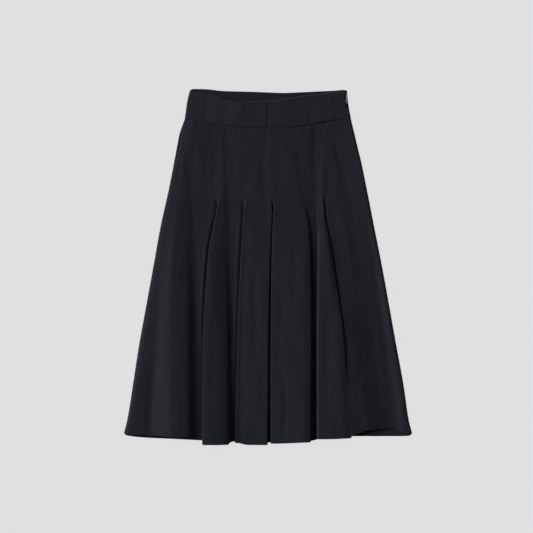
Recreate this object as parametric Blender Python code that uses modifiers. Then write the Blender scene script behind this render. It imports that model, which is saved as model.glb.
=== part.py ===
"""Linen skirt laid flat on its back: waist towards +Y, hem towards -Y, front facing +Z.

All sizes below are in millimetres. x runs to the right in the photo, "down" runs from the waist
line towards the hem, and z is the height over the surface that the skirt lies on.
"""
import math

import bmesh
import bpy
import numpy as np
from mathutils import Matrix

MM = 0.001
COLLECTION = "linen_skirt"
TOOLS = "cutters"

WAIST_Y = 361.7  # the waist line lies this far in +Y from the middle of the part
CLOTH = 1.3  # thickness of the front panel's wall
BACK_CLOTH = 1.5  # thickness of the back panel's wall
BAND_CLOTH = 2.4  # the waistband is the same cloth doubled over a stiffener
SEAM_GAP = 0.35  # clear distance between two pieces that are sewn together

# Outline of the laid skirt: down, left edge, right edge.
SIDES = (
    (57.0, -170.0, 169.3),
    (72.0, -175.3, 172.8),
    (92.0, -181.8, 177.8),
    (107.0, -184.6, 181.2),
    (144.0, -191.6, 190.3),
    (205.0, -203.6, 202.8),
    (277.0, -219.6, 216.9),
    (359.0, -234.4, 233.2),
    (441.0, -249.4, 248.2),
    (523.0, -264.2, 262.8),
    (605.0, -277.0, 278.0),
    (676.0, -289.0, 288.9),
    (701.0, -295.0, 295.2),
)

# Seam between the waistband and the front panel: x, down.
FRONT_SEAM = (
    (-172.0, 57.4),
    (-155.0, 59.4),
    (-122.0, 66.4),
    (-89.0, 71.3),
    (-56.0, 73.8),
    (-21.0, 75.2),
    (9.0, 75.8),
    (42.0, 74.4),
    (81.0, 70.1),
    (106.0, 65.4),
    (136.0, 60.3),
    (172.0, 56.6),
)

# Top edge of the waistband's front, which hangs lower than its back: x, down.
FRONT_TOP = (
    (-158.6, 1.6),
    (-150.0, 4.6),
    (-128.0, 8.0),
    (-106.0, 12.3),
    (-81.0, 20.8),
    (-56.0, 24.6),
    (-26.0, 23.8),
    (7.0, 22.0),
    (34.0, 18.5),
    (56.0, 14.8),
    (77.0, 12.0),
    (104.0, 8.4),
    (136.0, 6.0),
    (158.0, 4.4),
)

# Top edge of the waistband's back: x, down.
BACK_TOP = (
    (-159.0, 0.0),
    (-154.0, -2.6),
    (-134.0, -2.4),
    (-112.0, -0.8),
    (-101.0, 0.9),
    (-77.0, 2.1),
    (-36.0, 3.1),
    (-3.0, 4.3),
    (30.0, 5.5),
    (71.0, 4.0),
    (104.0, 2.4),
    (136.0, 0.9),
    (156.0, -0.6),
    (161.4, 1.0),
)

# Seam between the waistband's back and the back panel: x, down.
BACK_SEAM = (
    (-172.0, 57.4),
    (-90.0, 61.5),
    (0.0, 64.0),
    (90.0, 61.5),
    (172.0, 56.8),
)

# Hem of the back panel: x, down.
BACK_HEM = (
    (-295.4, 702.5),
    (-291.0, 706.2),
    (-272.0, 709.6),
    (-241.0, 712.0),
    (-198.0, 713.8),
    (-142.0, 716.6),
    (-75.0, 719.2),
    (0.0, 720.2),
    (60.0, 716.4),
    (92.0, 713.4),
    (147.0, 709.4),
    (183.0, 708.4),
    (263.0, 708.4),
    (290.0, 707.6),
    (295.4, 702.5),
)

# Stations down the skirt at which the tables of the front panel give their values.
STATIONS = (70.0, 230.0, 330.0, 500.0, 720.0)

# Rows of the front panel's wall, down from the waist line.
ROWS = (
    70, 92, 125, 165, 202, 218, 234, 243, 257, 280, 310, 345,
    385, 430, 470, 505, 535, 560, 585, 615, 650, 690, 720,
)

# The lines that the front panel's folds run along, from left to right between the pleats.
# name: (wall strips before it, x at each station, z at each station, hem)
LINES = {
    "side_dip": (1, (-161, -198, -214, -233, -238), (4.4, 5.0, 6.0, 6.0, 6.0), 706),
    "side_ridge": (2, (-158, -184, -192, -198, -194), (5.2, 6.2, 10.0, 14.0, 17.0), 708.5),
    "side_slope": (1, (-154, -166, -167, -168, -166), (5.6, 5.4, 7.4, 11.0, 13.6), 709.5),
    "left_valley": (1, (-149, -153, -149, -147, -147), (5.6, 4.0, 3.4, 3.6, 4.6), 710),
    "left_floor": (2, (-106, -114, -134, -141, -142), (5.9, 4.4, 4.4, 3.2, 3.1), 711),
    "second_shoulder": (1, (-91.2, -95, -115, -123, -122), (6.0, 5.7, 9.7, 14.2, 17.3), 724.7),
    "second_middle": (1, (-88, -90, -101, -105, -104), (5.9, 5.5, 8.8, 12.8, 16.6), 724.7),
    "second_edge": (1, (-80, -85, -87, -84, -82), (5.7, 4.9, 6.4, 9.4, 14.0), 724.4),
    "second_valley": (1, (-70, -77.5, -78, -77, -77.5), (5.7, 4.2, 3.6, 3.8, 5.6), 721),
    "second_floor": (1, (-50, -57, -64.5, -70, -73), (5.8, 4.7, 4.2, 3.2, 3.2), 719.5),
    "third_rise": (1, (-34, -41, -47.5, -53, -58), (6.0, 5.8, 8.4, 8.6, 6.8), 722.3),
    "third_top": (1, (-25, -26, -34, -43, -43), (6.2, 6.0, 9.2, 9.9, 8.8), 725.5),
    "third_end": (1, (-15, -4, -9, -13, -14), (6.1, 5.9, 9.5, 10.8, 11.0), 725.6),
    "fourth_start": (1, (11, 24, 20, 17.5, 17), (6.1, 5.9, 9.5, 11.3, 12.0), 722.4),
    "fourth_top": (1, (25, 42, 45, 44, 44), (6.2, 6.1, 9.9, 12.1, 13.2), 721.5),
    "fourth_end": (1, (36, 65, 74, 74, 73), (6.1, 6.3, 10.0, 12.8, 14.4), 720),
    "deep_left": (1, (86, 88.5, 91.5, 92, 91), (5.6, 4.6, 3.8, 4.0, 4.2), 717),
    "deep_right": (1, (97, 96.5, 98, 100, 99), (4.8, 3.2, 2.8, 2.9, 2.9), 715),
    "fifth_shoulder": (2, (107, 102.5, 103.8, 104.5, 103.5), (5.0, 4.6, 8.8, 12.5, 14.5), 713),
    "fifth_middle": (1, (110, 106.5, 113, 121, 121), (5.1, 5.4, 9.3, 12.8, 14.9), 713),
    "fifth_end": (1, (112, 108.5, 122, 141, 149), (5.2, 6.0, 9.6, 12.8, 15.0), 712),
    "slope_start": (1, (125, 124, 140, 165, 188), (5.5, 4.6, 4.9, 9.6, 11.8), 700),
    "slope_middle": (1, (132, 142, 162, 190, 209), (5.8, 5.0, 5.5, 7.9, 9.4), 695),
    "slope_crease": (1, (141, 166, 182, 213, 232), (5.4, 4.2, 4.4, 5.2, 6.0), 693),
    "edge_valley": (1, (152, 184, 212, 233, 254), (5.7, 4.6, 4.2, 2.9, 2.8), 693),
}

# The pleats, from left to right. side is 1 where the cloth right of the line lies on top and -1
# where the cloth left of it does. release is where the stitching ends and the pleat opens.
# low, mid and top are the heights of the three layers that lie on each other.
# name: (side, release, x, low, mid, top, hem to the left, hem to the right)
PLEATS = {
    "first": (
        1, 230.0, (-97, -103.5, -123.5, -133, -135),
        (2.75, 2.75, 2.8, 3.0, 3.0), (4.65, 4.65, 5.4, 7.0, 8.0), (6.6, 6.6, 9.4, 14.0, 17.0),
        711, 724.7,
    ),
    "second": (
        1, 236.0, (-42, -48.8, -56, -63, -68),
        (2.75, 2.75, 2.8, 2.9, 2.8), (4.65, 4.65, 4.8, 4.8, 4.6), (6.6, 6.6, 7.6, 7.6, 6.4),
        719.5, 721.5,
    ),
    "middle_left": (
        -1, 240.0, (-4.4, 8.9, 4.6, 0.6, -1.2),
        (2.75, 2.75, 3.0, 3.2, 3.2), (4.65, 4.65, 5.6, 6.6, 6.8), (6.7, 6.7, 9.2, 10.6, 11.0),
        725.4, 721.2,
    ),
    "middle_right": (
        1, 240.0, (-1.6, 11.5, 8.2, 6.3, 5.8),
        (2.75, 2.75, 3.0, 3.2, 3.2), (4.65, 4.65, 5.6, 6.6, 6.8), (6.7, 6.7, 9.2, 11.0, 11.6),
        721.2, 722.4,
    ),
    "fourth": (
        -1, 250.0, (48, 78, 86, 86.5, 85.5),
        (3.0, 3.0, 2.8, 2.9, 3.0), (4.8, 4.8, 5.0, 6.0, 6.4), (6.6, 6.6, 9.0, 11.6, 12.6),
        719.5, 718.0,
    ),
    "fifth": (
        -1, 225.5, (118, 113.8, 129.5, 153.5, 172),
        (2.8, 2.8, 3.4, 9.0, 12.0), (4.6, 4.6, 5.5, 10.75, 12.7), (6.4, 6.5, 8.2, 12.5, 13.4),
        711.0, 704.0,
    ),
}
# The lines on both sides of each pleat, which its stitched stretch lies level with.
PLEAT_SIDES = {
    "first": ("left_floor", "second_shoulder"),
    "second": ("second_floor", "third_rise"),
    "middle_left": ("third_end", "fourth_start"),
    "middle_right": ("third_end", "fourth_start"),
    "fourth": ("fourth_end", "deep_left"),
    "fifth": ("fifth_end", "slope_start"),
}

# How far a pleat's folded edge reaches under its upper cloth: distance under the release, depth.
PLEAT_DEPTH = (
    (10.0, 8.0),
    (24.0, 16.0),
    (70.0, 21.0),
    (250.0, 24.0),
    (500.0, 24.0),
)
LAST_PLEAT_DEPTH = (
    (10.0, 8.0),
    (24.0, 14.0),
    (70.0, 17.0),
    (200.0, 17.0),
    (310.0, 9.0),
    (340.0, 8.0),
)
LAST_PLEAT_ENDS = 560.0  # where the fifth pleat has rolled out into the slope beside it
LOW_REACH = 1.0  # a fold's path starts this far out on its lower cloth
TOP_REACH = 5.0  # and ends this far in on its upper cloth while it is not yet open
TURN_POINTS = 4  # points round a half turn of the wall
# The step beside a pleat begins this far above its release.
FADE_IN = {
    "first": 30.0,
    "second": 26.0,
    "middle_left": 12.0,
    "middle_right": 12.0,
    "fourth": 30.0,
    "fifth": 10.0,
}

# Heights of the wall's middle at the side seams and just inside them: down, left, right.
SIDE_HEIGHTS = (
    (57.0, 2.75, 5.0),
    (75.0, 2.75, 4.6),
    (100.0, 2.75, 3.9),
    (200.0, 2.75, 3.9),
    (260.0, 2.75, 3.0),
    (330.0, 2.75, 2.75),
    (720.0, 2.75, 2.75),
)
LIP_HEIGHTS = (
    (57.0, 4.2, 5.8),
    (230.0, 4.8, 5.7),
    (330.0, 5.0, 5.9),
    (500.0, 5.2, 6.2),
    (720.0, 5.8, 6.8),
)
LIP_IN = (7.0, 3.2)  # the line just inside the left and the right side seam
SIDE_HEM = 703.0  # where the front's hem meets the side seams
# At the left hip the side seam has rolled to the front, so the back shows beside it.
ROLLED_SEAM = ((72.0, 0.0), (95.0, 4.4), (118.0, 5.0), (138.0, 3.4), (158.0, 0.0))

# The waistband's front: down from its top edge as a share, height of its middle by x.
BAND_COLUMNS = 29
BAND_SHARES = (0.0, 0.14, 0.48, 0.66, 0.84, 1.0)
BAND_TOP_HEIGHTS = (
    (-160.0, 4.1),
    (-140.0, 5.0),
    (-95.0, 6.6),
    (-50.0, 8.6),
    (0.0, 8.2),
    (50.0, 8.0),
    (110.0, 6.8),
    (145.0, 5.8),
    (160.0, 5.4),
)
BAND_SEAM_HEIGHTS = (
    (-172.0, 4.1),
    (-150.0, 5.4),
    (-110.0, 6.2),
    (0.0, 6.4),
    (110.0, 6.2),
    (150.0, 5.8),
    (172.0, 5.4),
)

# The zip in the side seam at the right: down, height of the tape's underside.
TAPE = (
    (13.2, 2.75),
    (35.0, 2.75),
    (58.6, 2.75),
    (66.5, 1.86),
    (90.0, 1.86),
    (130.0, 1.86),
    (165.0, 1.86),
    (198.0, 1.86),
)
TAPE_EDGE = ((0.0, 160.8), (20.0, 162.6), (42.0, 165.6), (57.0, 169.3))  # down, band's right edge
TAPE_THICK = 0.9
TAPE_WIDTH = 9.0
TAPE_IN = 2.2
SLIDER_X = 161.0
SLIDER_DOWN = 9.0
SLIDER_LONG = 7.2
SLIDER_WIDE = 3.4
SLIDER_TAPER = 0.72  # its width at the hem end over its width at the top
SLIDER_LOW = 2.75
SLIDER_HIGH = 4.05
PIN_DOWN = 7.6
PIN_Z = 5.55
PIN_RADIUS = 0.45
CHEEK_THICK = 0.65
CHEEK_HIGH = 6.3
CHEEK_LONG = 2.0
BAR_SIDES = 16
EYE_RADIUS = 0.65
EYE_OUTER = 1.15
EYE_WIDE = 1.7
TAB_THICK = 0.8
# Outline of the pull tab beyond its eye: distance from the pin, half width.
TAB_OUTLINE = (
    (0.8, 0.75),
    (2.0, 0.75),
    (3.2, 1.05),
    (8.0, 1.25),
    (13.0, 1.6),
    (16.5, 1.65),
    (18.2, 1.35),
    (19.0, 0.7),
)

# name: base colour, roughness, metallic
MATERIALS = {
    "front_linen": ((0.0125, 0.0140, 0.0180), 0.88, 0.0),
    "back_linen": ((0.0115, 0.0130, 0.0170), 0.90, 0.0),
    "band_linen": ((0.0130, 0.0145, 0.0185), 0.86, 0.0),
    "band_back_linen": ((0.0110, 0.0125, 0.0160), 0.88, 0.0),
    "zip_tape": ((0.0100, 0.0115, 0.0150), 0.80, 0.0),
    "slider_metal": ((0.18, 0.19, 0.20), 0.45, 0.9),
    "tab_metal": ((0.42, 0.44, 0.46), 0.40, 0.9),
}


def curve(points, at):
    """Smooth value at a place on the line through the points; it never swings past them."""
    xs = [p[0] for p in points]
    ys = [p[1] for p in points]
    if at <= xs[0]:
        return ys[0]
    if at >= xs[-1]:
        return ys[-1]
    rises = [(ys[k + 1] - ys[k]) / (xs[k + 1] - xs[k]) for k in range(len(xs) - 1)]
    slopes = [rises[0]]
    for before, after in zip(rises, rises[1:]):
        same_way = before * after > 0
        slopes.append(2 * before * after / (before + after) if same_way else 0.0)
    slopes.append(rises[-1])
    k = max(i for i in range(len(xs) - 1) if xs[i] <= at)
    width = xs[k + 1] - xs[k]
    t = (at - xs[k]) / width
    start = (1 + 2 * t) * (1 - t) ** 2 * ys[k] + t * (1 - t) ** 2 * width * slopes[k]
    end = t * t * (3 - 2 * t) * ys[k + 1] + t * t * (t - 1) * width * slopes[k + 1]
    return start + end


def column(table, index):
    """One column of a table against its first one."""
    return [(row[0], row[index]) for row in table]


def at_station(values, down):
    """A table's value at a place down the skirt."""
    return curve(list(zip(STATIONS, values)), down)


def blend(first, second, share):
    """Points between two paths with as many points each."""
    pairs = zip(first, second)
    return [(a[0] + (b[0] - a[0]) * share, a[1] + (b[1] - a[1]) * share) for a, b in pairs]


def ease(t):
    """Smooth step from 0 to 1."""
    t = min(max(t, 0.0), 1.0)
    return t * t * (3 - 2 * t)


def turn(x, z, radius, start, end):
    """Points round a half turn of the wall."""
    angles = [math.radians(start + (end - start) * k / (TURN_POINTS - 1)) for k in range(TURN_POINTS)]
    return [(x + radius * math.cos(a), z + radius * math.sin(a)) for a in angles]


def open_fold(x, low, mid, top, depth):
    """Path of a fold from its lower cloth, under its edge and back, up to its upper cloth."""
    under = (mid - low) / 2
    over = (top - mid) / 2
    path = [(x - LOW_REACH, low)]
    path += turn(x + depth - under, low + under, under, -90, 90)
    path += turn(x + over, mid + over, over, -90, -270)
    return path


def step_fold(x, low, top):
    """The same fold where it only steps up, with no cloth under it yet."""
    count = 2 * TURN_POINTS
    reach = LOW_REACH + TOP_REACH
    path = []
    for k in range(count + 1):
        share = k / count
        path.append((x - LOW_REACH + reach * share, low + (top - low) * ease(share)))
    return path


def flat_fold(x, low, top):
    """The same fold stitched down or rolled out."""
    count = 2 * TURN_POINTS
    reach = LOW_REACH + TOP_REACH
    shares = [k / count for k in range(count + 1)]
    return [(x - LOW_REACH + reach * s, low + (top - low) * s) for s in shares]


def pleat_path(name, down):
    """Middle of the wall through one pleat at a place down the skirt, from left to right."""
    side, release, xs, lows, mids, tops = PLEATS[name][:6]
    x = side * at_station(xs, down)
    low = at_station(lows, down)
    mid = at_station(mids, down)
    top = at_station(tops, down)
    below = down - release
    depth_table = LAST_PLEAT_DEPTH if name == "fifth" else PLEAT_DEPTH
    depth = curve(depth_table, below)
    stepped = step_fold(x, low, top)
    opened = open_fold(x, low, mid, top, depth)
    if below <= 0:
        sides = [LINES[line][1:3] for line in PLEAT_SIDES[name]]
        ends = [(at_station(xs, down), at_station(zs, down)) for xs, zs in sides]
        flat = [(point[0], curve(ends, side * point[0])) for point in flat_fold(x, low, top)]
        path = blend(flat, stepped, ease(1 + below / FADE_IN[name]))
    else:
        path = blend(stepped, opened, min(below / 10.0, 1.0))
    left_to_end = LAST_PLEAT_ENDS - down
    if name == "fifth" and left_to_end < 30:
        if left_to_end > 0:
            path = blend(stepped, opened, left_to_end / 30.0)
        else:
            path = blend(flat_fold(x, low, top), stepped, ease(1 + left_to_end / 60.0))
    if side < 0:
        path = [(-point[0], point[1]) for point in reversed(path)]
    return path


def seam_shift(down, x):
    """How far the front panel's upper rows move to follow the waistband's seam."""
    share = 1 - ease((down - ROWS[0]) / 140.0)
    return share * (curve(FRONT_SEAM, x) + SEAM_GAP / 2 - ROWS[0])


def hem_shift(down, hem):
    """How far the lower rows move so that the last one ends at the hem."""
    return ease((down - 380.0) / (ROWS[-1] - 380.0)) * (hem - ROWS[-1])


def front_sides(down):
    """The front panel's left and right edge, a little inside the back panel's."""
    place_down = down + seam_shift(down, FRONT_SEAM[0][0]) + hem_shift(down, SIDE_HEM)
    rolled = curve(ROLLED_SEAM, place_down)
    left = curve(column(SIDES, 1), place_down) + 0.5 + rolled
    right = curve(column(SIDES, 2), place_down) - 0.5
    return left, right


def front_section(down):
    """Middle of the front panel's wall across the skirt, as rows of x, z and hem."""
    left, right = front_sides(down)
    names = list(LINES)
    parts = [("side", (left, curve(column(SIDE_HEIGHTS, 1), down)), SIDE_HEM)]
    parts.append(("line", (left + LIP_IN[0], curve(column(LIP_HEIGHTS, 1), down)), 704.5, 1))
    layout = (
        names[0:5], "first", names[5:10], "second", names[10:13], "middle_left", [],
        "middle_right", names[13:16], "fourth", names[16:21], "fifth", names[21:25],
    )
    for item in layout:
        if isinstance(item, str):
            path = pleat_path(item, down)
            hems = PLEATS[item][6:8]
            parts.append(("pleat", path, hems))
            continue
        for name in item:
            strips, xs, zs, hem = LINES[name]
            point = (at_station(xs, down), at_station(zs, down))
            parts.append(("line", point, hem, strips))
    parts.append(("line", (right - LIP_IN[1], curve(column(LIP_HEIGHTS, 2), down)), SIDE_HEM, 1))
    parts.append(("line", (right, curve(column(SIDE_HEIGHTS, 2), down)), SIDE_HEM, 1))

    section = []
    run = []
    for part in parts:
        if part[0] == "pleat":
            path = part[1]
            hems = part[2]
            run.append((path[0][0], path[0][1], hems[0], 1))
            section += sample_run(run)
            last = len(path) - 1
            for k in range(1, last):
                hem = hems[0] + (hems[1] - hems[0]) * k / last
                section.append((path[k][0], path[k][1], hem))
            run = [(path[last][0], path[last][1], hems[1], 1)]
        else:
            strips = part[3] if part[0] == "line" else 1
            run.append((part[1][0], part[1][1], part[2], strips))
    section += sample_run(run)
    return section


def sample_run(run):
    """Points along the smooth line between two pleats."""
    heights = [(p[0], p[1]) for p in run]
    hems = [(p[0], p[2]) for p in run]
    points = [run[0][:3]]
    for before, after in zip(run, run[1:]):
        for k in range(1, after[3] + 1):
            x = before[0] + (after[0] - before[0]) * k / after[3]
            points.append((x, curve(heights, x), curve(hems, x)))
    return points


def place(x, down, z):
    """A point of the part in metres."""
    return (x * MM, (WAIST_Y - down) * MM, z * MM)


def add_object(name, data, collection=COLLECTION):
    """A new object in one of the part's collections."""
    made = bpy.data.objects.new(name, data)
    bpy.data.collections[collection].objects.link(made)
    return made


def cloth_sheet(name, rows, thick):
    """An open surface through rows of points, given the cloth's thickness on both sides."""
    shape = bmesh.new()
    grid = [[shape.verts.new(point) for point in row] for row in rows]
    for upper, lower in zip(grid, grid[1:]):
        for k in range(len(upper) - 1):
            shape.faces.new((upper[k], lower[k], upper[k + 1]))
            shape.faces.new((upper[k + 1], lower[k], lower[k + 1]))
    shape.normal_update()
    mesh = bpy.data.meshes.new(name)
    shape.to_mesh(mesh)
    shape.free()
    mesh.shade_smooth()
    made = add_object(name, mesh)
    wall = made.modifiers.new("cloth", "SOLIDIFY")
    wall.thickness = thick * MM
    wall.offset = 0.0
    wall.use_even_offset = False
    return made


def front_panel():
    """The pleated front, one wall that folds under itself at each pleat."""
    rows = []
    for down in ROWS:
        row = []
        for x, z, hem in front_section(down):
            row.append(place(x, down + seam_shift(down, x) + hem_shift(down, hem), z))
        rows.append(row)
    return cloth_sheet("front_panel", rows, CLOTH)


def flat_piece(name, outline, low, high, collection=COLLECTION):
    """A flat piece with the given outline (x, down) and heights, as a filled curve."""
    data = bpy.data.curves.new(name, "CURVE")
    data.dimensions = "2D"
    data.fill_mode = "BOTH"
    data.extrude = (high - low) / 2 * MM
    line = data.splines.new("POLY")
    line.points.add(len(outline) - 1)
    for point, (x, down) in zip(line.points, outline):
        point.co = (*place(x, down, 0.0), 1.0)
    line.use_cyclic_u = True
    made = add_object(name, data, collection)
    made.location.z = (low + high) / 2 * MM
    return made


def back_panel():
    """The plain back, flat on the surface."""
    tops = np.linspace(-169.6, 169.0, 15)
    outline = [(x, curve(BACK_SEAM, x) + SEAM_GAP / 2) for x in tops]
    downs = [72, 92, 107, 125, 144, 175, 205, 240, 277, 318, 359, 400, 441, 482, 523, 564, 605, 640, 676]
    outline += [(curve(column(SIDES, 2), down), down) for down in downs]
    outline += [(x, down) for x, down in reversed(BACK_HEM)]
    outline += [(curve(column(SIDES, 1), down), down) for down in reversed(downs)]
    return flat_piece("back_panel", outline, 0.0, BACK_CLOTH)


def waistband_back():
    """The back half of the waistband, whose inner face shows over the front's dip."""
    outline = [(x, down) for x, down in BACK_TOP]
    outline += [(162.6, 20.0), (165.6, 42.0)]
    bottoms = np.linspace(169.2, -169.8, 15)
    outline += [(x, curve(BACK_SEAM, x) - SEAM_GAP / 2) for x in bottoms]
    outline += [(-168.0, 41.0), (-164.1, 20.0), (-160.6, 6.0)]
    return flat_piece("waistband_back", outline, 0.0, BAND_CLOTH)


def waistband_front():
    """The front half of the waistband, arched a little over the back."""
    rows = []
    for share in BAND_SHARES:
        left = curve(((0.0, -158.6), (0.3, -163.2), (1.0, -169.6)), share)
        right = curve(((0.0, 158.0), (0.5, 158.4), (0.66, 164.4), (1.0, 168.8)), share)
        row = []
        for x in np.linspace(left, right, BAND_COLUMNS):
            across = x / max(abs(left), right)
            top = curve(FRONT_TOP, across * 158.6)
            seam = curve(FRONT_SEAM, across * 170.0) - SEAM_GAP / 2
            high = curve(BAND_TOP_HEIGHTS, x)
            low = curve(BAND_SEAM_HEIGHTS, x)
            row.append(place(x, top + (seam - top) * share, high + (low - high) * share))
        rows.append(row)
    return cloth_sheet("waistband_front", rows, BAND_CLOTH)


def zip_tape():
    """The closed zip's tapes with their coil, one strip in the right-hand side seam."""
    rows = []
    for down, height in TAPE:
        edge = curve(TAPE_EDGE, down) if down < 57.0 else curve(column(SIDES, 2), down)
        xs = [edge - TAPE_IN - TAPE_WIDTH * (1 - k / 3) for k in range(4)]
        rows.append([place(x, down, height + TAPE_THICK / 2) for x in xs])
    return cloth_sheet("zip_tape", rows, TAPE_THICK)


def box(name, middle, size, collection):
    """A box with its middle and size in millimetres along x, down and z."""
    shape = bmesh.new()
    bmesh.ops.create_cube(shape, size=1.0)
    bmesh.ops.scale(shape, vec=[length * MM for length in size], verts=shape.verts)
    mesh = bpy.data.meshes.new(name)
    shape.to_mesh(mesh)
    shape.free()
    made = add_object(name, mesh, collection)
    made.location = place(*middle)
    return made


def bar(name, radius, length, collection):
    """A round bar along x through the middle of the slider's pin."""
    shape = bmesh.new()
    turn_to_x = Matrix.Rotation(math.radians(90), 4, "Y")
    bmesh.ops.create_cone(
        shape, cap_ends=True, segments=BAR_SIDES, radius1=radius * MM, radius2=radius * MM,
        depth=length * MM, matrix=turn_to_x,
    )
    mesh = bpy.data.meshes.new(name)
    shape.to_mesh(mesh)
    shape.free()
    made = add_object(name, mesh, collection)
    made.location = place(SLIDER_X, PIN_DOWN, PIN_Z)
    return made


def combine(target, tool, operation):
    """Adds a tool's body to the target, or cuts it away."""
    modifier = target.modifiers.new(tool.name, "BOOLEAN")
    modifier.operation = operation
    modifier.object = tool
    tool.hide_render = True
    tool.display_type = "WIRE"


def zip_slider():
    """The slider at the top of the zip, with two cheeks and the pin that carries the tab."""
    thick = SLIDER_HIGH - SLIDER_LOW
    middle = (SLIDER_X, SLIDER_DOWN, SLIDER_LOW + thick / 2)
    body = box("zip_slider", middle, (SLIDER_WIDE, SLIDER_LONG, thick), COLLECTION)
    for vertex in body.data.vertices:
        if vertex.co.y < 0:
            vertex.co.x *= SLIDER_TAPER
    soft = body.modifiers.new("soft edges", "BEVEL")
    soft.width = 0.25 * MM
    soft.segments = 1
    cheek_size = (CHEEK_THICK, CHEEK_LONG, CHEEK_HIGH - SLIDER_HIGH + 0.4)
    away = (SLIDER_WIDE - CHEEK_THICK) / 2
    for side, name in ((-1, "left cheek"), (1, "right cheek")):
        spot = (SLIDER_X + side * away, PIN_DOWN, CHEEK_HIGH - cheek_size[2] / 2)
        combine(body, box(name, spot, cheek_size, TOOLS), "UNION")
    combine(body, bar("pin", PIN_RADIUS, SLIDER_WIDE - CHEEK_THICK, TOOLS), "UNION")
    return body


def zip_pull_tab():
    """The pull tab, with an eye round the slider's pin, lying towards the hem."""
    eye = bar("zip_pull_tab", EYE_OUTER, EYE_WIDE, COLLECTION)
    outline = [(SLIDER_X + w, PIN_DOWN + away) for away, w in TAB_OUTLINE]
    outline += [(SLIDER_X - w, PIN_DOWN + away) for away, w in reversed(TAB_OUTLINE)]
    drawn = flat_piece("drawn plate", outline, PIN_Z - TAB_THICK / 2, PIN_Z + TAB_THICK / 2, TOOLS)
    bpy.context.view_layer.update()
    graph = bpy.context.evaluated_depsgraph_get()
    mesh = bpy.data.meshes.new_from_object(drawn.evaluated_get(graph))
    shape = bmesh.new()
    shape.from_mesh(mesh)
    bmesh.ops.remove_doubles(shape, verts=shape.verts, dist=0.00001)
    shape.to_mesh(mesh)
    shape.free()
    plate = add_object("plate", mesh, TOOLS)
    plate.matrix_world = drawn.matrix_world
    bpy.data.objects.remove(drawn)
    combine(eye, plate, "UNION")
    combine(eye, bar("eye hole", EYE_RADIUS, EYE_WIDE + 1.0, TOOLS), "DIFFERENCE")
    return eye


def paint(made, name):
    """Gives a piece its own material."""
    colour, roughness, metallic = MATERIALS[name]
    material = bpy.data.materials.new(name)
    material.use_nodes = True
    shader = material.node_tree.nodes["Principled BSDF"]
    shader.inputs["Base Color"].default_value = (*colour, 1.0)
    shader.inputs["Roughness"].default_value = roughness
    shader.inputs["Metallic"].default_value = metallic
    made.data.materials.clear()
    made.data.materials.append(material)


def main():
    for old in list(bpy.data.objects):
        bpy.data.objects.remove(old)
    for name in (COLLECTION, TOOLS):
        bpy.context.scene.collection.children.link(bpy.data.collections.new(name))
    paint(back_panel(), "back_linen")
    paint(front_panel(), "front_linen")
    paint(waistband_back(), "band_back_linen")
    paint(waistband_front(), "band_linen")
    paint(zip_tape(), "zip_tape")
    paint(zip_slider(), "slider_metal")
    paint(zip_pull_tab(), "tab_metal")


main()
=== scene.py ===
"""Looks of the linen skirt: fine cloth, zip, floor, light and camera. Lengths in the tables are in
millimetres: x to the right, down from the waist line to the hem, z up from the surface."""
import math

import bmesh
import bpy
import numpy as np
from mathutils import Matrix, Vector, noise


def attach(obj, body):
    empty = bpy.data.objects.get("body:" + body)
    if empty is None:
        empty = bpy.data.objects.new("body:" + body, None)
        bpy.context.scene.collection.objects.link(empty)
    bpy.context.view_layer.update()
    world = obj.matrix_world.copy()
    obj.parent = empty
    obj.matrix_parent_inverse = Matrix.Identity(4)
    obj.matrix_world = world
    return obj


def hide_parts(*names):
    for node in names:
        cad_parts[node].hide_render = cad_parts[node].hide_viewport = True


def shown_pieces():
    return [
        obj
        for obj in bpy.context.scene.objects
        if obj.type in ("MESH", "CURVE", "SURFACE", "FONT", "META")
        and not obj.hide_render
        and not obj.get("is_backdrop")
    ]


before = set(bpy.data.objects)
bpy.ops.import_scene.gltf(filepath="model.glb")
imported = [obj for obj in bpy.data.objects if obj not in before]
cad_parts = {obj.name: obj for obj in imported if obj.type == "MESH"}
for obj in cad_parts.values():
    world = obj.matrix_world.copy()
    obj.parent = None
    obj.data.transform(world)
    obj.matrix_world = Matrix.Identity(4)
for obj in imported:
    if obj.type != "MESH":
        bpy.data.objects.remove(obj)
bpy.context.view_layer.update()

MM = 0.001
WAIST_Y = 361.7  # y of the waist line, where down starts
CLOTH = 1.0  # thickness of the front
BACK_CLOTH = 1.2
BAND_CLOTH = 2.2
SEAM_GAP = 0.35  # between the band and the cloth below it

# The skirt's outline: down, x of its left side, x of its right side.
SIDES = (
    (57.0, -170.0, 169.3), (72.0, -175.3, 172.8), (92.0, -181.8, 177.8), (107.0, -184.6, 181.2),
    (144.0, -191.6, 190.3), (205.0, -203.6, 202.8), (277.0, -219.6, 216.9), (359.0, -234.4, 233.2),
    (441.0, -249.4, 248.2), (523.0, -264.2, 262.8), (605.0, -277.0, 278.0), (676.0, -289.0, 288.9),
    (701.0, -295.0, 295.2),
)
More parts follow.
